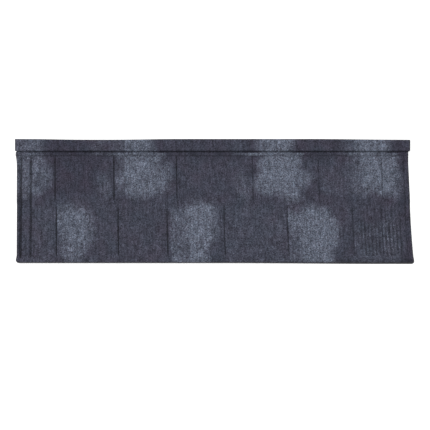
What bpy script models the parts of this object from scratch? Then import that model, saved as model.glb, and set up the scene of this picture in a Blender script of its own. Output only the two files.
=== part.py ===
"""A granule-coated pressed steel roofing sheet with two staggered rows of shingle tabs.

The sheet lies face up on a level floor: +X runs along the batten, +Y runs up the roof slope
and +Z points up. Sizes are in metres and are measured on the coated face.
"""

import itertools
import math

import bmesh
import bpy
from mathutils import Vector

# Plan of the sheet: it widens from the flange to the nose
REAR_WIDTH = 1.327  # flange and upstand, left end to right end
UPPER_FLARE = 0.0040  # added at the right edge along the upper tabs
LOWER_FLARE = 0.0078  # added at the right edge along the lower tabs
FLARE_POWER = 1.7  # the lower flare quickens towards the nose
FLARE_STEPS = 5
LEFT_TAPER = 0.005  # the left edge draws in by this from upstand to front band
REAR_CORNER = 0.0042  # the bead stands out past the flange where it starts, in the gutter
REAR_CORNER_RUN = 0.060
LEFT_CORNER_FLARE = 0.0035  # the nose fold pushes both front corners out
RIGHT_CORNER_FLARE = 0.0020

# Section from the rear edge to the nose
THICKNESS = 0.002  # steel core with its granule coat
FLANGE_DEPTH = 0.040
UPSTAND_HEIGHT = 0.022  # floor to the underside of the flange
GUTTER_WIDTH = 0.0125
GUTTER_RISE = 0.003
STEP_RUN = 0.003
STEP_DROP = 0.0016
UPPER_TAB_LENGTH = 0.152
BUTT_RUN = 0.015
BUTT_DROP = 0.0022
LOWER_TAB_LENGTH = 0.168
BAND_STEP_RUN = 0.002
BAND_STEP_RISE = 0.0006
FRONT_BAND = 0.0239
NOSE_HEIGHT = 0.024
NOSE_SPLAY = math.radians(10)
NOSE_SWEEP = 0.0028  # the foot of the nose comes further forward at the right end
SWEEP_START = 0.70  # from the left end
SWEEP_RUN = 0.50

# Folds
FOLD_INSIDE_RADIUS = 0.0015
NOSE_INSIDE_RADIUS = 0.006
FOLD_SEGMENTS = 4
NOSE_SEGMENTS = 6
BUTT_SEGMENTS = 4

# Keyways between neighbouring tabs
KEYWAY_WIDTH = 0.0046
KEYWAY_FLOOR = 0.0012
KEYWAY_DEPTH = 0.0020
KEYWAY_RUN_IN = 0.007

# Left-hand underlap: an edge bead, a deep water channel and a shallower one
EDGE_CHANNEL_PLACE = 0.0116
EDGE_CHANNEL_WIDTH = 0.0086
EDGE_CHANNEL_FLOOR = 0.0030
EDGE_CHANNEL_DEPTH = 0.0045
TAB_CHANNEL_PLACE = 0.0465
TAB_CHANNEL_WIDTH = 0.0074
TAB_CHANNEL_FLOOR = 0.0022
TAB_CHANNEL_DEPTH = 0.0032
CHANNEL_RUN_IN = 0.007
CHANNEL_RUN_OUT = 0.008
BEAD_HEIGHT = 0.0022
BEAD_RUN_IN = 0.030
BEAD_SEGMENTS = 4

# Right-hand overlap: a strip set down by a joggle, its edge turned down as a lip
OVERLAP_WIDTH = 0.0155
JOGGLE_RUN = 0.005
JOGGLE_DROP = 0.0012
OVERLAP_RUN_IN = 0.060
LIP_WIDTH = 0.0032
LIP_DROP = 0.0020

# Tab widths, counted from the inner water channel; the last tab of a row runs to the right edge
UPPER_TABS = (0.0828, 0.199, 0.212, 0.2575, 0.2232, 0.2138)
LOWER_TABS = (0.0862, 0.2085, 0.165, 0.192, 0.213, 0.2193, 0.0978)

# Places across the underlap, from the left edge
BEAD_WIDTH = EDGE_CHANNEL_PLACE - EDGE_CHANNEL_WIDTH / 2
UNDERLAP_WIDTH = TAB_CHANNEL_PLACE + TAB_CHANNEL_WIDTH / 2

# Places along the section, from the rear edge
GUTTER_END = FLANGE_DEPTH + GUTTER_WIDTH
PAN_START = GUTTER_END + STEP_RUN
BUTT_START = PAN_START + UPPER_TAB_LENGTH
BUTT_END = BUTT_START + BUTT_RUN
BAND_START = BUTT_END + LOWER_TAB_LENGTH
NOSE_CORNER = BAND_START + FRONT_BAND
NOSE_FOOT = NOSE_CORNER + NOSE_HEIGHT * math.tan(NOSE_SPLAY)

CHANNELS = (
    (EDGE_CHANNEL_PLACE, EDGE_CHANNEL_WIDTH, EDGE_CHANNEL_FLOOR, EDGE_CHANNEL_DEPTH),
    (TAB_CHANNEL_PLACE, TAB_CHANNEL_WIDTH, TAB_CHANNEL_FLOOR, TAB_CHANNEL_DEPTH),
)
COAT_COLOUR = (0.058, 0.062, 0.078, 1.0)
COAT_ROUGHNESS = 0.95
SAME_PLACE = 1e-5  # cuts nearer than this to a vertex run through it


def clamp(value):
    return min(1.0, max(0.0, value))


def ease(value):
    """A smooth rise from 0 to 1, level at both ends."""
    share = clamp(value)
    return share * share * (3 - 2 * share)


def pan_height(depth):
    """Height of the coated face, depth from the rear edge, between the step and the nose."""
    start = THICKNESS + GUTTER_RISE - STEP_DROP
    rise = NOSE_HEIGHT + BUTT_DROP - BAND_STEP_RISE - start
    pitch = rise / (NOSE_CORNER - PAN_START)
    butt = BUTT_DROP * ease((depth - BUTT_START) / BUTT_RUN)
    band = BAND_STEP_RISE * clamp((depth - BAND_START) / BAND_STEP_RUN)
    return start + pitch * (depth - PAN_START) - butt + band


def rounded(corner, before, after, radius, segments):
    """Points of the arc that rounds the corner between two straight stretches."""
    back = (before - corner).normalized()
    ahead = (after - corner).normalized()
    turn = math.pi - back.angle(ahead)
    inset = radius * math.tan(turn / 2)
    centre = corner + (back + ahead).normalized() * radius / math.cos(turn / 2)
    first = (corner + back * inset - centre).normalized()
    last = (corner + ahead * inset - centre).normalized()
    shares = [step / segments for step in range(segments + 1)]
    return [centre + first.slerp(last, share) * radius for share in shares]


def side_profile():
    """The coated face seen from the side, as points (0, -depth, height) from rear to nose."""

    def at(depth, height):
        return Vector((0, -depth, height))

    outside_fold = FOLD_INSIDE_RADIUS + THICKNESS
    outside_nose = NOSE_INSIDE_RADIUS + THICKNESS
    rear_edge = at(0, UPSTAND_HEIGHT + THICKNESS)
    flange_fold = at(FLANGE_DEPTH, UPSTAND_HEIGHT + THICKNESS)
    gutter_fold = at(FLANGE_DEPTH, THICKNESS)
    step_top = at(GUTTER_END, THICKNESS + GUTTER_RISE)
    butt = [BUTT_START + BUTT_RUN * step / BUTT_SEGMENTS for step in range(BUTT_SEGMENTS + 1)]
    band_step = (BAND_START, BAND_START + BAND_STEP_RUN)
    pan = [at(depth, pan_height(depth)) for depth in (PAN_START, *butt, *band_step)]
    nose_corner = at(NOSE_CORNER, pan_height(NOSE_CORNER))
    nose_foot = at(NOSE_FOOT, THICKNESS * math.sin(NOSE_SPLAY))
    return [
        rear_edge,
        *rounded(flange_fold, rear_edge, gutter_fold, outside_fold, FOLD_SEGMENTS),
        *rounded(gutter_fold, flange_fold, step_top, FOLD_INSIDE_RADIUS, FOLD_SEGMENTS),
        step_top,
        *pan,
        *rounded(nose_corner, pan[-1], nose_foot, outside_nose, NOSE_SEGMENTS),
        nose_foot,
    ]


def keyway_places(tabs):
    """Distances from the pan's left edge to the keyways that end the tabs of one row."""
    return list(itertools.accumulate(tabs, initial=TAB_CHANNEL_PLACE))[1:]


def trough_lines(place, width, floor):
    """Both rims and both foot lines of a pressed trough."""
    return [place - width / 2, place - floor / 2, place + floor / 2, place + width / 2]


def lengthwise_lines():
    """Distances from the pan's left edge at which the pressed forms crease the sheet."""
    lines = [BEAD_WIDTH * step / BEAD_SEGMENTS for step in range(1, BEAD_SEGMENTS)]
    for place, width, floor, _ in CHANNELS:
        lines += trough_lines(place, width, floor)
    for place in keyway_places(UPPER_TABS) + keyway_places(LOWER_TABS):
        lines += trough_lines(place, KEYWAY_WIDTH, KEYWAY_FLOOR)
    joggle = [OVERLAP_WIDTH + JOGGLE_RUN * share for share in (0, 0.25, 0.5, 0.75, 1)]
    lines += [REAR_WIDTH - inset for inset in (LIP_WIDTH, *joggle)]
    return lines


def crosswise_lines():
    """Distances from the rear edge at which a pressed form changes or the fan bends."""
    flare_step = LOWER_TAB_LENGTH / (FLARE_STEPS + 1)
    flare = [BUTT_END + flare_step * step for step in range(1, FLARE_STEPS + 1)]
    return [
        *flare,
        PAN_START + KEYWAY_RUN_IN,
        PAN_START + CHANNEL_RUN_IN,
        GUTTER_END + REAR_CORNER_RUN / 4,
        GUTTER_END + BEAD_RUN_IN,
        BUTT_START - KEYWAY_RUN_IN,
        BUTT_END + KEYWAY_RUN_IN,
        BAND_START - KEYWAY_RUN_IN,
        BAND_START - CHANNEL_RUN_OUT,
    ]


def trough(offset, width, floor):
    """Share of full depth across a trough, from 0 at its rims to 1 on its floor."""
    return clamp((width / 2 - abs(offset)) / ((width - floor) / 2))


def stretch(depth, start, end, run_in, run_out):
    """Share of full depth along a form that fades in after its start and out before its end."""
    return min(ease((depth - start) / run_in), ease((end - depth) / run_out))


def keyway_relief(across, depth):
    rows = (
        (UPPER_TABS, PAN_START, BUTT_START),
        (LOWER_TABS, BUTT_END, BAND_START),
    )
    relief = 0.0
    for tabs, start, end in rows:
        along = stretch(depth, start, end, KEYWAY_RUN_IN, KEYWAY_RUN_IN)
        for place in keyway_places(tabs):
            share = trough(across - place, KEYWAY_WIDTH, KEYWAY_FLOOR) * along
            relief = min(relief, -KEYWAY_DEPTH * share)
    return relief


def underlap_relief(across, depth):
    """The edge bead and the channels, whose floors stay level with the gutter until full depth."""
    along = stretch(depth, PAN_START, BAND_START, CHANNEL_RUN_IN, CHANNEL_RUN_OUT)
    room = pan_height(depth) - THICKNESS
    relief = 0.0
    for place, width, floor, full_depth in CHANNELS:
        relief -= min(full_depth, room) * trough(across - place, width, floor) * along
    if across < BEAD_WIDTH:
        bead = stretch(depth, GUTTER_END, NOSE_CORNER, BEAD_RUN_IN, FRONT_BAND)
        relief += BEAD_HEIGHT * math.sin(math.pi * across / BEAD_WIDTH) * bead
    return relief


def overlap_relief(across, depth):
    from_edge = REAR_WIDTH - across
    along = stretch(depth, PAN_START, NOSE_CORNER, OVERLAP_RUN_IN, FRONT_BAND)
    strip = JOGGLE_DROP * ease((OVERLAP_WIDTH + JOGGLE_RUN - from_edge) / JOGGLE_RUN)
    lip = LIP_DROP * clamp(1 - from_edge / LIP_WIDTH)
    return -(strip + lip) * along


def fan_shift(across, depth):
    """How far a point moves along X as the sheet fans out from the upstand to the nose."""
    corner = ease((depth - BAND_START) / FRONT_BAND)
    left = LEFT_TAPER * clamp((depth - PAN_START) / (BAND_START - PAN_START))
    left -= LEFT_CORNER_FLARE * corner
    upper = UPPER_FLARE * clamp((depth - PAN_START) / (BUTT_START - PAN_START))
    lower = LOWER_FLARE * clamp((depth - BUTT_START) / (BAND_START - BUTT_START)) ** FLARE_POWER
    right = upper + lower + RIGHT_CORNER_FLARE * corner
    tab_field = REAR_WIDTH - OVERLAP_WIDTH - JOGGLE_RUN - UNDERLAP_WIDTH
    return left + (right - left) * clamp((across - UNDERLAP_WIDTH) / tab_field)


def bead_shift(across, depth):
    """How far the bead is drawn out past the flange at its rear end."""
    start = clamp((depth - FLANGE_DEPTH) / FOLD_INSIDE_RADIUS)
    fade = (1 - clamp((depth - GUTTER_END) / REAR_CORNER_RUN)) ** 3
    return -REAR_CORNER * start * fade * clamp(1 - across / BEAD_WIDTH)


def nose_sweep(across, depth):
    """How far the nose is swung forward below its fold."""
    drop = clamp((depth - NOSE_CORNER) / (NOSE_FOOT - NOSE_CORNER))
    return NOSE_SWEEP * drop * ease((across - SWEEP_START) / SWEEP_RUN)


def cut_line(mesh, place, direction):
    """Cut all faces along a plane, as the crease lines of the press tool."""
    geometry = mesh.verts[:] + mesh.edges[:] + mesh.faces[:]
    bmesh.ops.bisect_plane(
        mesh, geom=geometry, dist=SAME_PLACE, plane_co=place, plane_no=direction
    )


def folded_blank(mesh):
    """Fold the flat steel: the side profile swept along the batten."""
    verts = [mesh.verts.new(point) for point in side_profile()]
    edges = [mesh.edges.new(pair) for pair in itertools.pairwise(verts)]
    swept = bmesh.ops.extrude_edge_only(mesh, edges=edges)["geom"]
    moved = [item for item in swept if isinstance(item, bmesh.types.BMVert)]
    bmesh.ops.translate(mesh, verts=moved, vec=(REAR_WIDTH, 0, 0))
    bmesh.ops.recalc_face_normals(mesh, faces=mesh.faces)
    if sum(face.normal.z * face.calc_area() for face in mesh.faces) < 0:
        bmesh.ops.reverse_faces(mesh, faces=mesh.faces)


def press_forms(mesh):
    """Press the keyways, channels, bead and lap into the folded sheet, square to its face."""
    for place in lengthwise_lines():
        cut_line(mesh, (place, 0, 0), (1, 0, 0))
    for depth in crosswise_lines():
        cut_line(mesh, (0, -depth, 0), (0, 1, 0))
    mesh.normal_update()
    for vert in mesh.verts:
        across, depth = vert.co.x, -vert.co.y
        relief = keyway_relief(across, depth)
        relief += underlap_relief(across, depth)
        relief += overlap_relief(across, depth)
        vert.co += vert.normal * relief
        vert.co.x += fan_shift(across, depth) + bead_shift(across, depth)
        vert.co.y -= nose_sweep(across, depth)


def coat_material():
    material = bpy.data.materials.new("granule_coat")
    material.use_nodes = True
    shader = material.node_tree.nodes["Principled BSDF"]
    shader.inputs["Base Color"].default_value = COAT_COLOUR
    shader.inputs["Roughness"].default_value = COAT_ROUGHNESS
    shader.inputs["Metallic"].default_value = 0.0
    return material


def give_thickness(sheet):
    wall = sheet.modifiers.new("steel_and_coat", "SOLIDIFY")
    wall.thickness = THICKNESS
    wall.offset = -1.0
    wall.use_even_offset = True
    wall.use_quality_normals = True


def rest_on_floor(sheet):
    """Put the middle of the underside of the sheet's box at the origin."""
    bpy.context.view_layer.update()
    finished = sheet.evaluated_get(bpy.context.evaluated_depsgraph_get())
    corners = [Vector(corner) for corner in finished.bound_box]
    low = Vector(map(min, zip(*corners)))
    high = Vector(map(max, zip(*corners)))
    middle = (low + high) / 2
    sheet.location = (-middle.x, -middle.y, -low.z)


def make_sheet():
    mesh = bmesh.new()
    folded_blank(mesh)
    press_forms(mesh)
    data = bpy.data.meshes.new("roofing_sheet")
    mesh.to_mesh(data)
    mesh.free()
    data.materials.append(coat_material())
    data.shade_smooth()
    data.set_sharp_from_angle(angle=math.radians(30))
    sheet = bpy.data.objects.new("roofing_sheet", data)
    bpy.context.scene.collection.objects.link(sheet)
    give_thickness(sheet)
    rest_on_floor(sheet)


for old in list(bpy.data.objects):
    bpy.data.objects.remove(old, do_unlink=True)
make_sheet()
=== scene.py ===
import itertools
import math

import bmesh
import bpy
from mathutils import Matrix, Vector, noise


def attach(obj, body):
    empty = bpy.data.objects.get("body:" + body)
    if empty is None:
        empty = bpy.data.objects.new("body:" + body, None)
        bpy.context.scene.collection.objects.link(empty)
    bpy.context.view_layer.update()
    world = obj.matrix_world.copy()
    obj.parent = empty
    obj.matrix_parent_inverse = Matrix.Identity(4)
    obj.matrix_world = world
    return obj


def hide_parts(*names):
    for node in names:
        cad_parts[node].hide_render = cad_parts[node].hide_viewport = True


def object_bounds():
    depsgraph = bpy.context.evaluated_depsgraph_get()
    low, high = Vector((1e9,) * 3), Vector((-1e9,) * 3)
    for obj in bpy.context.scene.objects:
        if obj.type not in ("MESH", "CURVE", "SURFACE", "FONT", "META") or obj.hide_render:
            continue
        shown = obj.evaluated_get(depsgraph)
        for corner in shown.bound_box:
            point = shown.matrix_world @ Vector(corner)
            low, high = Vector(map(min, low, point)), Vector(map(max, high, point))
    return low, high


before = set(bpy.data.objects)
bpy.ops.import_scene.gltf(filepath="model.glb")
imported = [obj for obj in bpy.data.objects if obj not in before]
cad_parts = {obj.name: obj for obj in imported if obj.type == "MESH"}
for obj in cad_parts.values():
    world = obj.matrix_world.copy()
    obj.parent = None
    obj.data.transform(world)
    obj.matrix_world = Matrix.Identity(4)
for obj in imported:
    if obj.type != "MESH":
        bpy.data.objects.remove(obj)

cad_low, cad_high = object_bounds()

# The folded sheet. The real one starts as flat coil steel, 0.45 mm thick, which rollers fold along
# its length into a flange that is nailed to the batten, an upstand, a gutter, one slope with a low
# butt between its two rows of tabs, and a nose that turns down over the course below.
REAR_CORNER = 0.0042  # the rear end of the edge bead stands out past the flange by this
LEFT_END = cad_low.x + REAR_CORNER
REAR_EDGE = cad_high.y
SHEET_LENGTH = 1.327  # along the flange
WALL = 0.002  # steel, binder and granules together
FLANGE_TOP = 0.02424
UPSTAND_HEIGHT = 0.022
GUTTER_LEVEL = FLANGE_TOP - UPSTAND_HEIGHT
FLANGE_DEPTH = 0.040
GUTTER_WIDTH = 0.0125
GUTTER_RISE = 0.003
STEP_RUN = 0.003
STEP_DROP = 0.0016
UPPER_TAB_LENGTH = 0.152
BUTT_RUN = 0.015
BUTT_DROP = 0.0022
LOWER_TAB_LENGTH = 0.168
BAND_STEP_RUN = 0.002
BAND_STEP_RISE = 0.0006
FRONT_BAND = 0.0239
FIRST_PAN_ROW = 0.003  # a short row, so that the gutter's step stays crisp
NOSE_ROW = 0.0082  # the bevel of the nose reaches less far than this last row before it
NOSE_RUN = 0.0042
NOSE_DROP = 0.02362

# Places along the section, from the rear edge
GUTTER_END = FLANGE_DEPTH + GUTTER_WIDTH
PAN_START = GUTTER_END + STEP_RUN
BUTT_START = PAN_START + UPPER_TAB_LENGTH
BUTT_END = BUTT_START + BUTT_RUN
BAND_START = BUTT_END + LOWER_TAB_LENGTH
NOSE_CORNER = BAND_START + FRONT_BAND
PAN_RISE = UPSTAND_HEIGHT - GUTTER_RISE + STEP_DROP + BUTT_DROP - BAND_STEP_RISE
PITCH = PAN_RISE / (NOSE_CORNER - PAN_START)


def ease(share):
    """A smooth rise from 0 to 1."""
    share = min(1.0, max(0.0, share))
    return share * share * (3 - 2 * share)


def straight(run, rise, rows):
    """Equal steps along a straight stretch of the section, each (towards the nose, upwards)."""
    return [(run / rows, rise / rows)] * rows


def sloping(run, rows, extra_rise=0.0):
    """Steps along the slope, which climbs from the gutter to the level of the flange at the nose."""
    return straight(run, run * PITCH + extra_rise, rows)


BUTT_ROWS = 4
butt_falls = [BUTT_DROP * ease(row / BUTT_ROWS) for row in range(BUTT_ROWS + 1)]
butt_step = BUTT_RUN / BUTT_ROWS
section = [
    *straight(0.0, -UPSTAND_HEIGHT, 4),
    *straight(GUTTER_WIDTH, GUTTER_RISE, 4),
    *straight(STEP_RUN, -STEP_DROP, 1),
    *sloping(FIRST_PAN_ROW, 1),
    *sloping(UPPER_TAB_LENGTH - FIRST_PAN_ROW, 20),
    *[(butt_step, butt_step * PITCH + high - low) for high, low in itertools.pairwise(butt_falls)],
    *sloping(LOWER_TAB_LENGTH, 22),
    *sloping(BAND_STEP_RUN, 1, BAND_STEP_RISE),
    *sloping(FRONT_BAND - BAND_STEP_RUN - NOSE_ROW, 4),
    *sloping(NOSE_ROW, 1),
    *straight(NOSE_RUN, -NOSE_DROP, 2),
]

# The blank is ruled with a line wherever the press will crease it. Places are distances from its
# left end; the tabs of a row are counted from the inner water channel.
EDGE_CHANNEL = 0.0116
TAB_CHANNEL = 0.0465
UPPER_TABS = (0.0828, 0.199, 0.212, 0.2575, 0.2232, 0.2138)
LOWER_TABS = (0.0862, 0.2085, 0.165, 0.192, 0.213, 0.2193, 0.0978)
upper_keyways = list(itertools.accumulate(UPPER_TABS, initial=TAB_CHANNEL))[1:]
lower_keyways = list(itertools.accumulate(LOWER_TABS, initial=TAB_CHANNEL))[1:]
BEAD_WIDTH = 0.0073
OVERLAP_WIDTH = 0.0155
JOGGLE_WIDTH = 0.005
LIP_WIDTH = 0.0032
OVERLAP_START = SHEET_LENGTH - OVERLAP_WIDTH
JOGGLE_START = OVERLAP_START - JOGGLE_WIDTH
LIP_START = SHEET_LENGTH - LIP_WIDTH
LIP_MIDDLE = SHEET_LENGTH - LIP_WIDTH / 2
SCORE_PITCH = 0.01185
SCORE_FIRST = 1.1582
SCORE_COUNT = 12
SCORE_CLEARANCE = 0.006  # no score line comes this near to a keyway
score_lines = [SCORE_FIRST + SCORE_PITCH * count for count in range(SCORE_COUNT)]
lower_scores = [
    line for line in score_lines
    if min(abs(line - keyway) for keyway in lower_keyways) > SCORE_CLEARANCE
]
upper_scores = [1.126, 1.154, 1.1845]

# Each crease needs a few lines, ruled at these distances from its middle.
KEYWAY_RULES = (-0.0023, -0.0015, -0.0006, 0.0006, 0.0015, 0.0023)
EDGE_CHANNEL_RULES = (-0.0043, -0.0029, -0.0015, 0.0015, 0.0029, 0.0043)
TAB_CHANNEL_RULES = (-0.0037, -0.0024, -0.0011, 0.0011, 0.0024, 0.0037)
SCORE_RULES = (-0.0040, -0.0022, 0.0, 0.0022, 0.0040)
WIDEST_GAP = 0.0033  # between two ruled lines
NARROWEST_GAP = 0.0004
bead_lines = [BEAD_WIDTH * quarter / 4 for quarter in range(5)]
joggle_lines = [JOGGLE_START + JOGGLE_WIDTH * quarter / 4 for quarter in range(5)]
rules = [*bead_lines, *joggle_lines, LIP_START, LIP_MIDDLE, SHEET_LENGTH]
for places, offsets in (
    (upper_keyways + lower_keyways, KEYWAY_RULES),
    ([EDGE_CHANNEL], EDGE_CHANNEL_RULES),
    ([TAB_CHANNEL], TAB_CHANNEL_RULES),
    (lower_scores + upper_scores, SCORE_RULES),
):
    rules += [place + offset for place in places for offset in offsets]
columns = [0.0]
for rule in sorted(rules):
    gap = rule - columns[-1]
    if gap > NARROWEST_GAP:
        parts = math.ceil(gap / WIDEST_GAP)
        columns += [rule - gap * left / parts for left in reversed(range(parts))]

FLANGE_ROWS = 6
bpy.ops.object.select_all(action="DESELECT")
bpy.ops.mesh.primitive_grid_add(
    x_subdivisions=len(columns) - 1, y_subdivisions=FLANGE_ROWS, size=1, calc_uvs=False,
    location=(0, 0, 0),
)
sheet = bpy.context.object
sheet.name = "coated_sheet"
sheet.data.name = "coated_sheet"
for vert in sheet.data.vertices:
    column = round((vert.co.x + 0.5) * (len(columns) - 1))
    vert.co = (LEFT_END + columns[column], REAR_EDGE - FLANGE_DEPTH * (0.5 - vert.co.y), FLANGE_TOP)


def pick(test):
    """Select the points that pass a test of (across, depth, height), from the rear left corner."""
    bpy.ops.mesh.select_all(action="DESELECT")
    cage = bmesh.from_edit_mesh(sheet.data)
    for vert in cage.verts:
        vert.select = test(vert.co.x - LEFT_END, REAR_EDGE - vert.co.y, vert.co.z)
    cage.select_flush(True)
    bmesh.update_edit_mesh(sheet.data)


NEAR = 0.0001  # places closer than this count as the same
bpy.ops.object.mode_set(mode="EDIT")
bpy.ops.mesh.select_mode(type="VERT")
pick(lambda across, depth, height: depth > FLANGE_DEPTH - NEAR)
for towards_nose, upwards in section:
    bpy.ops.mesh.extrude_region_move(
        TRANSFORM_OT_translate={"value": (0, -towards_nose, upwards)}
    )
FOLD_RADIUS = 0.0015  # on the inside of a fold
NOSE_RADIUS = 0.0080  # on the outside
nose_turn = math.pi / 2 + math.atan(PITCH) - math.atan(NOSE_RUN / NOSE_DROP)
for fold_depth, fold_height, reach, facets in (
    (FLANGE_DEPTH, FLANGE_TOP, FOLD_RADIUS + WALL, 4),
    (FLANGE_DEPTH, GUTTER_LEVEL, FOLD_RADIUS, 4),
    (NOSE_CORNER, FLANGE_TOP, NOSE_RADIUS * math.tan(nose_turn / 2), 6),
):
    pick(
        lambda across, depth, height: abs(depth - fold_depth) < NEAR
        and abs(height - fold_height) < NEAR
    )
    bpy.ops.mesh.bevel(offset=reach, offset_type="OFFSET", segments=facets, affect="EDGES")

# The keyways. One stroke of the press tool sinks a narrow groove between neighbouring tabs, so that
# each row reads as separate shingles. They are 4.6 mm wide and 2 mm deep and stagger from row to row.
KEYWAY_RUN_IN = 0.007
KEYWAY_STROKES = ((0.0016, 0.0009), (0.0007, 0.0011))  # half the width reached, and the fall


def press(reached, fall, start, end, run=0.0, strokes=1):
    """Push the reached columns down between two depths, in strokes that each begin further in."""
    for stroke in range(strokes):
        inset = run * (stroke + 0.5) / strokes - NEAR / 2
        pick(lambda across, depth, height: start + inset < depth < end - inset and reached(across))
        bpy.ops.transform.translate(value=(0, 0, -fall / strokes))


def beside(places, reach):
    """A test for the columns within reach of any of the places."""
    return lambda across: any(abs(across - place) < reach for place in places)


ROWS = (
    (upper_keyways, upper_scores, PAN_START + KEYWAY_RUN_IN, BUTT_START),
    (lower_keyways, lower_scores, BUTT_END, BAND_START),
)
for keyways, scores, start, end in ROWS:
    for reach, fall in KEYWAY_STROKES:
        press(beside(keyways, reach), fall, start, end)

# The score lines. The tool also draws shallow lines down the tabs of the right end, about 12 mm
# apart and half a millimetre deep, like the splits of a wooden shingle.
SCORE_STROKES = ((0.0041, 0.00012), (0.0023, 0.00022), (0.0002, 0.00012))  # in the same form
for keyways, scores, start, end in ROWS:
    for reach, fall in SCORE_STROKES:
        press(beside(scores, reach), fall, start, end)

# The underlap at the left end. It lies under the next sheet: a raised bead along the edge stops the
# rain, and a deep water channel and a shallower one beside the first tab drain to the nose.
CHANNEL_END = BAND_START + 0.0095
CHANNEL_RUN_OUT = 0.009  # over this length before its end a channel grows shallow
CHANNEL_STROKES = 5
for place, half_floor, half_slope, full_depth in (
    (EDGE_CHANNEL, 0.0016, 0.0030, 0.0045),
    (TAB_CHANNEL, 0.0012, 0.0025, 0.0032),
):
    fall = full_depth / CHANNEL_STROKES
    for stroke in range(CHANNEL_STROKES):
        front = CHANNEL_END - CHANNEL_RUN_OUT * stroke / CHANNEL_STROKES
        for reach in (half_floor, half_slope):
            pick(
                lambda across, depth, height: PAN_START + FIRST_PAN_ROW < depth < front
                and abs(across - place) < reach
                and height > GUTTER_LEVEL + fall
            )
            bpy.ops.transform.translate(value=(0, 0, -fall / 2))
BEAD_HEIGHT = 0.0022
BEAD_RUN = 0.027
BEAD_STROKES = ((0.001, 0.0063, 0.71), (0.003, 0.0045, 0.29))  # from, to, share of the height
for first, last, share in BEAD_STROKES:
    press(
        lambda across: first < across < last,
        -share * BEAD_HEIGHT, GUTTER_END, NOSE_CORNER, BEAD_RUN, 4,
    )

# The overlap at the right end. It covers the next sheet's channels: a joggle sets the strip down
# by 1.2 mm, and its outer edge is turned down as a 2 mm lip.
JOGGLE_DROP = 0.0012
OVERLAP_RUN = 0.024
LIP_DROP = 0.0020
joggle_falls = [JOGGLE_DROP * ease(quarter / 4) for quarter in range(5)]
strip_strokes = [
    (joggle_lines[quarter], joggle_falls[quarter] - joggle_falls[quarter - 1])
    for quarter in range(1, 5)
]
strip_strokes += [(LIP_MIDDLE, LIP_DROP / 2), (SHEET_LENGTH, LIP_DROP / 2)]
for edge, fall in strip_strokes:
    press(lambda across: across > edge - NEAR, fall, PAN_START, NOSE_CORNER, OVERLAP_RUN, 3)
bpy.ops.object.mode_set(mode="OBJECT")

# The stone granule coat. A binder is sprayed on the pressed sheet, crushed stone is dropped into it
# and a clear glaze holds it. The plant blends a lighter, bluer granule over part of most tabs, and
# along the rim the granules look brown. Painted shade darkens the folds, keyways, channels, score
# lines and nose, and a painted highlight of lighter granules lies on the gutter's front ridge.
FADE = 0.054  # over this distance a blend thins out
AT_KEYWAY = 0.014  # beside a keyway it stops shorter
FLANGE_BLENDS = (  # left, right, share of lighter granules, fade
    (-0.050, 0.090, 0.37, FADE),
    (0.262, 0.300, 0.26, FADE),
    (0.318, 0.400, 0.24, FADE),
    (0.362, 0.460, 0.66, FADE),
    (0.500, 1.290, 0.05, FADE),
    (0.722, 0.760, 0.14, FADE),
    (0.824, 0.926, 0.80, FADE),
    (1.090, 1.160, 0.22, FADE),
    (1.140, 1.252, 0.86, FADE),
)
RIDGE_START = GUTTER_END - 0.0085
RIDGE_HIGHLIGHTS = (  # the same for the painted highlight where light catches the gutter's front ridge, drawn as lighter granules
    (0.036, 0.068, 0.70, 0.006),
    (0.306, 0.345, 0.42, 0.006),
    (0.345, 0.460, 0.94, 0.010),
    (0.456, 0.504, 0.56, 0.010),
    (0.745, 0.782, 0.28, 0.006),
    (0.782, 0.878, 0.94, 0.008),
    (0.898, 0.972, 1.00, 0.008),
    (1.122, 1.172, 0.66, 0.006),
    (1.215, 1.290, 0.60, 0.010),
)
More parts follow.
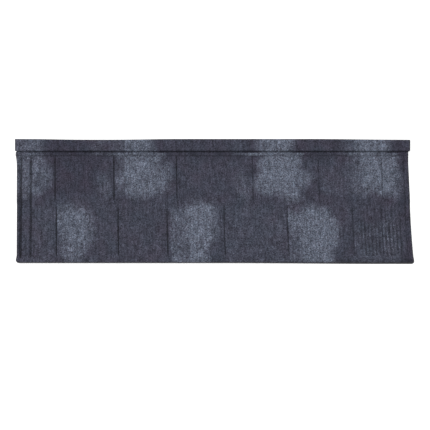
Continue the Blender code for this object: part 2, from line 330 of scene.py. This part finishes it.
TAB_BLENDS = (  # left, right, rear, front, share of lighter granules, fade of the left side
    (-0.050, 0.094, 0.036, 0.192, 0.46, FADE),
    (0.050, 0.112, 0.076, 0.166, 0.46, FADE),
    (0.274, 0.324, 0.110, 0.205, 0.24, FADE),
    (0.290, 1.310, 0.050, 0.215, 0.08, FADE),
    (0.336, 0.400, 0.030, 0.190, 0.30, AT_KEYWAY),
    (0.336, 0.430, 0.106, 0.176, 0.60, FADE),
    (0.358, 0.490, 0.030, 0.190, 0.78, FADE),
    (0.440, 0.518, 0.070, 0.182, 0.56, FADE),
    (0.734, 0.790, 0.110, 0.215, 0.30, FADE),
    (0.803, 0.880, 0.100, 0.180, 0.74, FADE),
    (0.828, 0.958, 0.030, 0.184, 0.92, FADE),
    (0.920, 1.000, 0.105, 0.160, 0.66, FADE),
    (0.892, 0.966, 0.120, 0.212, 0.64, FADE),
    (1.015, 1.125, 0.090, 0.200, 0.16, FADE),
    (1.118, 1.210, 0.040, 0.196, 0.34, FADE),
    (1.160, 1.288, 0.030, 0.178, 0.90, FADE),
    (1.160, 1.300, 0.092, 0.176, 0.70, FADE),
    (1.226, 1.300, 0.130, 0.196, 0.58, FADE),
    (-0.050, 1.300, 0.200, 0.500, 0.10, FADE),
    (0.045, 0.150, 0.210, 0.500, 0.14, FADE),
    (0.085, 0.128, 0.262, 0.325, 0.28, FADE),
    (0.134, 0.224, 0.222, 0.300, 0.59, AT_KEYWAY),
    (0.150, 0.254, 0.230, 0.370, 0.64, FADE),
    (0.148, 0.232, 0.300, 0.412, 0.56, FADE),
    (0.514, 0.600, 0.232, 0.450, 0.42, 0.030),
    (0.560, 0.690, 0.190, 0.240, 0.20, FADE),
    (0.562, 0.668, 0.216, 0.355, 0.86, FADE),
    (0.570, 0.642, 0.290, 0.442, 0.72, FADE),
    (0.680, 0.930, 0.220, 0.500, 0.15, FADE),
    (0.870, 0.908, 0.262, 0.330, 0.28, FADE),
    (0.912, 0.960, 0.236, 0.325, 0.62, AT_KEYWAY),
    (0.912, 0.970, 0.260, 0.450, 0.30, AT_KEYWAY),
    (0.950, 1.058, 0.226, 0.440, 0.76, FADE),
    (0.990, 1.082, 0.258, 0.366, 0.80, FADE),
    (1.130, 1.240, 0.280, 0.500, 0.22, FADE),
    (1.215, 1.290, 0.262, 0.500, 0.30, FADE),
)
ROUNDED = 0.040  # radius of a blend's corners
DRIFT_PITCH = 0.030  # the blends' outlines wander in waves of about this size
DRIFT_REACH = 0.012  # and by up to about this far


def lighter_share_and_ridge_highlight(across, depth):
    """Share of lighter granules at a place on the unfanned sheet, with the painted highlight of the
    gutter's ridge.
    """
    drift = noise.noise_vector(Vector((across, depth, 0)) / DRIFT_PITCH) * DRIFT_REACH
    shares = []
    if depth < GUTTER_END + NEAR:
        # Past RIDGE_START the gutter's front ridge also gets its painted highlight.
        on_ridge = RIDGE_HIGHLIGHTS if depth > RIDGE_START else ()
        for left, right, most, fade in FLANGE_BLENDS + on_ridge:
            from_side = min(across - left, right - across) + drift.x * fade / FADE
            shares.append(most * ease(from_side / fade + 0.5))
    else:
        for left, right, rear, front, most, fade in TAB_BLENDS:
            from_side = min((across - left) * FADE / fade, right - across) + drift.x
            from_end = min(depth - rear, front - depth) + drift.y
            short = math.hypot(max(0.0, ROUNDED - from_side), max(0.0, ROUNDED - from_end))
            shares.append(most * ease((ROUNDED - short) / FADE + 0.5))
    return max(shares)


def line_share(place, lines, half_width):
    """1 on the nearest of the lines, falling to 0 at half a line's width from it."""
    return max(0.0, 1 - min(abs(place - line) for line in lines) / half_width)


def graded(value, start, run, before, after):
    """A measure that goes smoothly from one value to another over a run."""
    return before + (after - before) * ease((value - start) / run)


FOLD_LINES = (  # depth, half width, most painted shade: the gutter's step and the front band's
    ((GUTTER_END + PAN_START) / 2, 0.0035, 0.55),
    (BAND_START + 0.0075, 0.0060, 0.12),
)
SIDE_LINES = (  # place, half width, most painted shade: the inner channel and the joggle
    (TAB_CHANNEL + 0.0010, 0.0046, 0.75),
    (OVERLAP_START - 0.0025, 0.0050, 0.40),
)
EDGE_CHANNEL_LINE = EDGE_CHANNEL + 0.0022  # on the channel's right wall
KEYWAY_LINE = 0.0030  # half the width of a keyway's dark line
SCORE_LINE = 0.0045
KEYWAY_FADES = (  # from the butt on, each keyway's dark line comes up over this length
    (0.008, 0.006, 0.045, 0.012, 0.075, 0.012),
    (0.020, 0.010, 0.024, 0.010, 0.036, 0.018, 0.012),
)

# Measures that change over the sheet: where the change starts, its run, the value before and after
EDGE_CHANNEL_WIDENS = (0.08, 0.06, 0.0034, 0.0055)  # half width of its dark line, down the slope
KEYWAYS_SHADE = (0.30, 0.65, 1.0, 0.45)  # painted shade in the keyways, less towards the right
SCORES_SHADE = (0.24, 0.08, 0.20, 0.60)  # painted shade in the score lines, down the slope
ROLL = (NOSE_CORNER - 0.014, 0.004, 0.0, 1.0)  # where the front band rolls over into the nose
ROLL_SHADE = (0.50, 0.10, 0.0, 0.10)  # painted shade there, towards the right
ROLL_END_SHADE = (1.03, 0.06, 0.0, 0.19)  # and more of it at the right end
NOSE_SHADE = (NOSE_CORNER + 0.001, 0.002, 0.0, 0.25)  # painted shade on the nose
SIDES_BROWN = (0.0012, 0.008, 0.4, 0.0)  # browned stone, inwards from a side edge
NOSE_BROWN = (NOSE_CORNER - 0.002, 0.004, 0.0, 1.0)


def painted_shade_share(across, depth):
    """Share of painted shade: dark lines in the folds, keyways, channels and score lines, and on the
    nose.
    """
    shares = [most * line_share(depth, [line], half) for line, half, most in FOLD_LINES]
    rolled = graded(across, *ROLL_SHADE) + graded(across, *ROLL_END_SHADE)
    shares += [rolled * graded(depth, *ROLL), graded(depth, *NOSE_SHADE)]
    from_butt = max(BUTT_START - depth, depth - BUTT_END)
    for (keyways, scores, start, end), fades in zip(ROWS, KEYWAY_FADES):
        if start - KEYWAY_RUN_IN - NEAR < depth < end + NEAR:
            nearest = min(range(len(keyways)), key=lambda count: abs(across - keyways[count]))
            keyway_shade = graded(across, *KEYWAYS_SHADE) * ease(from_butt / fades[nearest])
            shares.append(keyway_shade * line_share(across, keyways, KEYWAY_LINE))
            shares.append(graded(depth, *SCORES_SHADE) * line_share(across, scores, SCORE_LINE))
    if PAN_START < depth < CHANNEL_END:
        half_dark = graded(depth, *EDGE_CHANNEL_WIDENS)
        shares.append(line_share(across, [EDGE_CHANNEL_LINE], half_dark))
        shares += [most * line_share(across, [line], half) for line, half, most in SIDE_LINES]
    return max(shares)


def thin_share(across, depth):
    """Share of browned stone along the side edges and on the nose, where the granules are thin."""
    from_side = min(across, SHEET_LENGTH - across)
    return max(graded(from_side, *SIDES_BROWN), graded(depth, *NOSE_BROWN))


# The fan. The tool spreads the sheet towards the nose, so that the sheets of a course can slide
# over each other: the left edge draws in, the right edge swings out and the keyways lean between.
UNDERLAP_WIDTH = 0.0502
TAB_FIELD = JOGGLE_START - UNDERLAP_WIDTH
LEFT_TAPER = 0.005
UPPER_FLARE = 0.0040
LOWER_FLARE = 0.0078
FLARE_POWER = 1.7
LEFT_CORNER_FLARE = 0.0035  # the front band's corners are drawn out
RIGHT_CORNER_FLARE = 0.0020
REAR_CORNER_RUN = 0.060  # the bead's drawn-out rear end dies away over this length
REAR_CORNER_POWER = 3
CORNER_CUT = 0.0040  # the foot of the left nose corner is rounded off
CORNER_CUT_START = NOSE_CORNER - 0.010
CORNER_CUT_RUN = 0.012
NOSE_SWEEP = 0.0028  # the right end of the nose sweeps forward
SWEEP_START = 0.70
SWEEP_RUN = 0.50


def share_of(value, start, run):
    """An even rise from 0 to 1 over a run."""
    return min(1.0, max(0.0, (value - start) / run))


def fan_shift(across, depth):
    """How far a place moves to the right."""
    corner = ease((depth - BAND_START) / FRONT_BAND)
    left = LEFT_TAPER * share_of(depth, PAN_START, BAND_START - PAN_START)
    left -= LEFT_CORNER_FLARE * corner
    upper = UPPER_FLARE * share_of(depth, PAN_START, BUTT_START - PAN_START)
    lower = LOWER_FLARE * share_of(depth, BUTT_START, BAND_START - BUTT_START) ** FLARE_POWER
    right = upper + lower + RIGHT_CORNER_FLARE * corner
    fanned = left + (right - left) * share_of(across, UNDERLAP_WIDTH, TAB_FIELD)
    drawn_out = share_of(depth, FLANGE_DEPTH, FOLD_RADIUS)
    drawn_out *= (1 - share_of(depth, GUTTER_END, REAR_CORNER_RUN)) ** REAR_CORNER_POWER
    rounded_off = ease((depth - CORNER_CUT_START) / CORNER_CUT_RUN)
    rim = max(0.0, 1 - across / BEAD_WIDTH)
    return fanned + rim * (CORNER_CUT * rounded_off - REAR_CORNER * drawn_out)


HUMP_PLACE = 0.285
HUMP_REACH = 0.168
HUMP_DEPTH = 0.0025
HUMP_POWER = 3
REAR_END_PULL = (0.98, 0.38, 0.0, 0.0028)  # start, run, pull before and after


def edge_wave(across):
    """How far the flange's rear edge is pulled in where the folding rollers dragged it."""
    from_hump = abs(across - HUMP_PLACE) / HUMP_REACH
    return HUMP_DEPTH * math.exp(-(from_hump**HUMP_POWER)) + graded(across, *REAR_END_PULL)


STREAK_STRETCH = 0.12  # the streak map is squeezed along the slope, so that a pattern on it streaks
# The relief below stays inside the tabs, within these limits, and fades in over a short way.
RELIEF_LEFT = 0.06
RELIEF_RIGHT = JOGGLE_START - 0.01
RELIEF_REAR = PAN_START + 0.010
RELIEF_FADE = 0.012
tab_faces = sheet.vertex_groups.new(name="tab_faces")
# Per point: share of lighter granules (with the ridge's painted highlight), painted shade, browned
# stone, and the streak map's place.
lighter, painted_shade, thin, streak_places = [], [], [], []
for vert in sheet.data.vertices:
    across, depth = vert.co.x - LEFT_END, REAR_EDGE - vert.co.y
    lighter.append(lighter_share_and_ridge_highlight(across, depth))
    painted_shade.append(painted_shade_share(across, depth))
    thin.append(thin_share(across, depth))
    streak_places.append((across, depth * STREAK_STRETCH))
    from_side = min(across - RELIEF_LEFT, RELIEF_RIGHT - across)
    from_end = min(depth - RELIEF_REAR, BAND_START - depth)
    tab_faces.add([vert.index], ease(min(from_side, from_end) / RELIEF_FADE), "REPLACE")
    vert.co.x += fan_shift(across, depth)
    nose_drop = share_of(depth, NOSE_CORNER, NOSE_RUN)
    vert.co.y -= NOSE_SWEEP * nose_drop * ease((across - SWEEP_START) / SWEEP_RUN)
    vert.co.y -= edge_wave(across) * (1 - share_of(depth, 0.0, FLANGE_DEPTH))
for name, values in (("lighter_share_and_ridge_highlight", lighter), ("painted_shade_share", painted_shade), ("thin_coat", thin)):
    sheet.data.attributes.new(name, "FLOAT", "POINT").data.foreach_set("value", values)
streak_map = sheet.data.uv_layers.new(name="streak_map")
for loop in sheet.data.loops:
    streak_map.data[loop.index].uv = streak_places[loop.vertex_index]

# Relief of the coat: drawn streaks in the steel, and binder that stands a few tenths of a
# millimetre higher in some spots than in others.
for name, size, strength, coordinates in (
    ("drawn_streaks", 0.0075, 0.0006, "UV"),
    ("coat_build_up", 0.0110, 0.00035, "LOCAL"),
):
    relief = bpy.data.textures.new(name, "CLOUDS")
    relief.noise_scale = size
    relief.noise_depth = 1
    uneven = sheet.modifiers.new(name, "DISPLACE")
    uneven.texture = relief
    uneven.texture_coords = coordinates
    if coordinates == "UV":
        uneven.uv_layer = "streak_map"
    uneven.direction = "Z"
    uneven.mid_level = 1.0
    uneven.strength = strength
    uneven.vertex_group = "tab_faces"
    bpy.ops.object.modifier_apply(modifier=name)
STEEL_WALL = 0.00045
COAT_WALL = WALL - STEEL_WALL
coat_wall = sheet.modifiers.new("granules_and_binder", "SOLIDIFY")
coat_wall.thickness = COAT_WALL
coat_wall.offset = -1.0
coat_wall.use_even_offset = True
coat_wall.use_quality_normals = True
coat_wall.material_offset = 1


def linear_of(level):
    """One channel of an sRGB colour as linear light."""
    return level / 12.92 if level <= 0.04045 else ((level + 0.055) / 1.055) ** 2.4


def colour(code):
    """A hex sRGB colour as linear red, green, blue and full alpha."""
    return (*(linear_of(int(code[at : at + 2], 16) / 255) for at in (1, 3, 5)), 1.0)


def node_in(material, kind, settings=None, inputs=None):
    """Add a shader node: settings by name, inputs as plain values or as the sockets that feed them."""
    tree = material.node_tree
    new = tree.nodes.new(kind)
    for name, value in (settings or {}).items():
        setattr(new, name, value)
    for name, value in (inputs or {}).items():
        socket = new.inputs[name]
        if isinstance(value, bpy.types.NodeSocket):
            tree.links.new(value, socket)
        else:
            socket.default_value = value
    return new


def blank_material(name):
    material = bpy.data.materials.new(name)
    material.use_nodes = True
    material.node_tree.nodes.clear()
    return material


# Crushed stone of 1 to 2 mm in a matt glaze. Each granule draws its own tone, so that a blend breaks
# up into lighter and darker grains, and a bump in each cell makes the surface rough without shine.
# The cells are a little over 2 mm, because smaller ones would blur together.
GRANULE = 0.0020833
CLUMP = 0.016667  # the coat is thicker and thinner in spots of this size
BATCH = 0.055556  # plum and blue-black stone come in patches of this size
STREAK = 0.0066667  # width of the streaks that the press draws down the slope
MOST_NOISE = {"From Min": 0.3, "From Max": 0.7}  # nearly all values of a noise lie between these
coat = blank_material("stone_granule_coat")
place = node_in(coat, "ShaderNodeTexCoord").outputs["Object"]
granules = node_in(coat, "ShaderNodeTexVoronoi", {}, {"Vector": place, "Scale": 1 / GRANULE})
draws = node_in(coat, "ShaderNodeSeparateColor", {}, {"Color": granules.outputs["Color"]})
clumps = node_in(coat, "ShaderNodeTexNoise", {}, {"Vector": place, "Scale": 1 / CLUMP, "Detail": 3.0})
clumping = node_in(coat, "ShaderNodeMapRange", {}, {
    "Value": clumps.outputs["Fac"], **MOST_NOISE, "To Min": 0.64, "To Max": 1.36,
})
# Share of lighter granules, with the painted highlight on the gutter's front ridge.
lighter_here = node_in(coat, "ShaderNodeAttribute", {"attribute_name": "lighter_share_and_ridge_highlight"})
chance = node_in(coat, "ShaderNodeMath", {"operation": "MULTIPLY"}, {
    0: lighter_here.outputs["Fac"], 1: clumping.outputs["Result"],
})
lighter_mineral = node_in(coat, "ShaderNodeMapRange", {}, {
    "Value": draws.outputs["Red"], "To Min": 0.1, "To Max": 1.9,
})
lightness = node_in(coat, "ShaderNodeMath", {"operation": "MULTIPLY", "use_clamp": True}, {
    0: chance.outputs["Value"], 1: lighter_mineral.outputs["Result"],
})
batches = node_in(coat, "ShaderNodeTexNoise", {}, {"Vector": place, "Scale": 1 / BATCH, "Detail": 1.0})
charcoal = node_in(coat, "ShaderNodeMix", {"data_type": "RGBA"}, {
    0: batches.outputs["Fac"], 6: colour("#332d39"), 7: colour("#2b313c"),
})
slate_blue = node_in(coat, "ShaderNodeMix", {"data_type": "RGBA"}, {
    0: draws.outputs["Blue"], 6: colour("#545d6b"), 7: colour("#60636f"),
})
stone = node_in(coat, "ShaderNodeMix", {"data_type": "RGBA"}, {
    0: lightness.outputs["Value"], 6: charcoal.outputs[2], 7: slate_blue.outputs[2],
})
thin_here = node_in(coat, "ShaderNodeAttribute", {"attribute_name": "thin_coat"})
browned = node_in(coat, "ShaderNodeMix", {"data_type": "RGBA"}, {
    0: thin_here.outputs["Fac"], 6: stone.outputs[2], 7: colour("#38383c"),
})
# Painted shade: a near-black colour is mixed over the stone along the folds, keyways, channels, score
# lines and nose.
painted_shade_here = node_in(coat, "ShaderNodeAttribute", {"attribute_name": "painted_shade_share"})
shaded_stone = node_in(coat, "ShaderNodeMix", {"data_type": "RGBA"}, {
    0: painted_shade_here.outputs["Fac"], 6: browned.outputs[2], 7: colour("#101014"),
})
streak_place = node_in(coat, "ShaderNodeUVMap", {"uv_map": "streak_map"})
streaks = node_in(coat, "ShaderNodeTexNoise", {}, {
    "Vector": streak_place.outputs["UV"], "Scale": 1 / STREAK, "Detail": 1.0,
})
streaking = node_in(coat, "ShaderNodeMapRange", {}, {
    "Value": streaks.outputs["Fac"], **MOST_NOISE, "To Min": 0.78, "To Max": 1.22,
})
mottling = node_in(coat, "ShaderNodeMapRange", {}, {
    "Value": clumps.outputs["Fac"], **MOST_NOISE, "To Min": 0.86, "To Max": 1.14,
})
shade = node_in(coat, "ShaderNodeMapRange", {}, {
    "Value": draws.outputs["Green"], "To Min": 0.38, "To Max": 1.66,
})
unevenness = node_in(coat, "ShaderNodeMath", {"operation": "MULTIPLY"}, {
    0: streaking.outputs["Result"], 1: mottling.outputs["Result"],
})
brightness = node_in(coat, "ShaderNodeMath", {"operation": "MULTIPLY"}, {
    0: unevenness.outputs["Value"], 1: shade.outputs["Result"],
})
toned = node_in(coat, "ShaderNodeVectorMath", {"operation": "SCALE"}, {
    "Vector": shaded_stone.outputs[2], "Scale": brightness.outputs["Value"],
})
grains = node_in(coat, "ShaderNodeBump", {"invert": True}, {
    "Strength": 0.7, "Distance": 0.0006, "Height": granules.outputs["Distance"],
})
shader = node_in(coat, "ShaderNodeBsdfPrincipled", {}, {
    "Base Color": toned.outputs["Vector"], "Roughness": 0.92, "Specular IOR Level": 0.2,
    "Normal": grains.outputs["Normal"],
})
node_in(coat, "ShaderNodeOutputMaterial", {}, {"Surface": shader.outputs["BSDF"]})

# The steel core. The zinc and aluminium coat of the coil freezes in flat crystals of 3 to 4 mm, which
# the underside shows through its clear primer, and shears leave a brighter line along every edge.
SPANGLE = 0.0037037
steel = blank_material("zinc_aluminium_steel")
place = node_in(steel, "ShaderNodeTexCoord").outputs["Object"]
spangle = node_in(steel, "ShaderNodeTexVoronoi", {}, {"Vector": place, "Scale": 1 / SPANGLE})
facets = node_in(steel, "ShaderNodeSeparateColor", {}, {"Color": spangle.outputs["Color"]})
facet_tone = node_in(steel, "ShaderNodeMix", {"data_type": "RGBA"}, {
    0: facets.outputs["Green"], 6: colour("#9da1a6"), 7: colour("#b4b7ba"),
})
facet_gloss = node_in(steel, "ShaderNodeMapRange", {}, {
    "Value": facets.outputs["Red"], "To Min": 0.30, "To Max": 0.50,
})
shader = node_in(steel, "ShaderNodeBsdfPrincipled", {}, {
    "Base Color": facet_tone.outputs[2], "Metallic": 1.0, "Roughness": facet_gloss.outputs["Result"],
})
node_in(steel, "ShaderNodeOutputMaterial", {}, {"Surface": shader.outputs["BSDF"]})

# The sheared edge is bright bare steel. The shears tear it in fine ridges, which scatter its shine
# unevenly, and they are drawn a millimetre wide so that they show.
TEAR = 0.0011111
sheared = blank_material("sheared_steel_edge")
place = node_in(sheared, "ShaderNodeTexCoord").outputs["Object"]
tear = node_in(sheared, "ShaderNodeTexNoise", {}, {"Vector": place, "Scale": 1 / TEAR, "Detail": 2.0})
torn_gloss = node_in(sheared, "ShaderNodeMapRange", {}, {
    "Value": tear.outputs["Fac"], **MOST_NOISE, "To Min": 0.35, "To Max": 0.60,
})
shader = node_in(sheared, "ShaderNodeBsdfPrincipled", {}, {
    "Base Color": colour("#b9b8b5"), "Metallic": 1.0, "Roughness": torn_gloss.outputs["Result"],
})
node_in(sheared, "ShaderNodeOutputMaterial", {}, {"Surface": shader.outputs["BSDF"]})

# The wall of the coat comes first. The steel then grows out of its underside, and the strip of faces
# where the two meet is the sheared edge.
for finish in (coat, steel, sheared):
    sheet.data.materials.append(finish)
bpy.ops.object.modifier_apply(modifier=coat_wall.name)
bpy.ops.object.mode_set(mode="EDIT")
bpy.ops.mesh.select_mode(type="FACE")
bpy.ops.mesh.select_all(action="DESELECT")
sheet.active_material_index = 1
bpy.ops.object.material_slot_select()
bpy.ops.mesh.extrude_region_shrink_fatten(
    TRANSFORM_OT_shrink_fatten={"value": STEEL_WALL}
)
cage = bmesh.from_edit_mesh(sheet.data)
for face in cage.faces:
    face.select = face.material_index == 1 and any(
        beyond.material_index == 0 for edge in face.edges for beyond in edge.link_faces
    )
bmesh.update_edit_mesh(sheet.data)
sheet.active_material_index = 2
bpy.ops.object.material_slot_assign()
bpy.ops.object.mode_set(mode="OBJECT")
bpy.ops.object.shade_smooth_by_angle(angle=math.radians(35))
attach(sheet, "root")
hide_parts("roofing_sheet")

# The floor, the light and the camera: a matt white paper floor, one large soft lamp above and a
# little to the rear left, even light from all round, and the camera straight above the sheet.
FLOOR_SIZE = 40
FIBRE = 0.0033333  # tufts of paper fibre, drawn large
bpy.ops.mesh.primitive_plane_add(size=FLOOR_SIZE, location=(0, 0, 0))
floor = bpy.context.object
floor.name = "floor"
paper = blank_material("white_paper")
place = node_in(paper, "ShaderNodeTexCoord").outputs["Object"]
fibres = node_in(paper, "ShaderNodeTexNoise", {}, {"Vector": place, "Scale": 1 / FIBRE, "Detail": 2.0})
fibre_gloss = node_in(paper, "ShaderNodeMapRange", {}, {
    "Value": fibres.outputs["Fac"], "To Min": 0.85, "To Max": 1.0,
})
shader = node_in(paper, "ShaderNodeBsdfPrincipled", {}, {
    "Base Color": (0.95, 0.95, 0.95, 1.0), "Roughness": fibre_gloss.outputs["Result"],
})
node_in(paper, "ShaderNodeOutputMaterial", {}, {"Surface": shader.outputs["BSDF"]})
floor.data.materials.append(paper)

SURROUND_STRENGTH = 0.40
LAMP_PLACE = Vector((-0.8, 0.9, 7.5))
LAMP_WIDTH = 4.0
LAMP_POWER = 590
world = bpy.data.worlds.new("soft_studio")
bpy.context.scene.world = world
world.use_nodes = True
surround = world.node_tree.nodes["Background"]
surround.inputs["Color"].default_value = (1.0, 1.0, 1.0, 1.0)
surround.inputs["Strength"].default_value = SURROUND_STRENGTH
bpy.ops.object.light_add(type="AREA", location=LAMP_PLACE)
lamp = bpy.context.object
lamp.name = "soft_lamp"
lamp.data.shape = "DISK"
lamp.data.size = LAMP_WIDTH
lamp.data.energy = LAMP_POWER
lamp.rotation_euler = (-LAMP_PLACE).to_track_quat("-Z", "Y").to_euler()

CAMERA_PLACE = (0.0033, -0.0445, 2.05)  # the picture's middle lies a little in front of the sheet's
CAMERA_LENS = 50.53
bpy.ops.object.camera_add(location=CAMERA_PLACE, rotation=(0, 0, 0))
camera = bpy.context.object
camera.data.sensor_width = 36
camera.data.lens = CAMERA_LENS
bpy.context.scene.camera = camera
bpy.context.scene.view_settings.view_transform = "Standard"
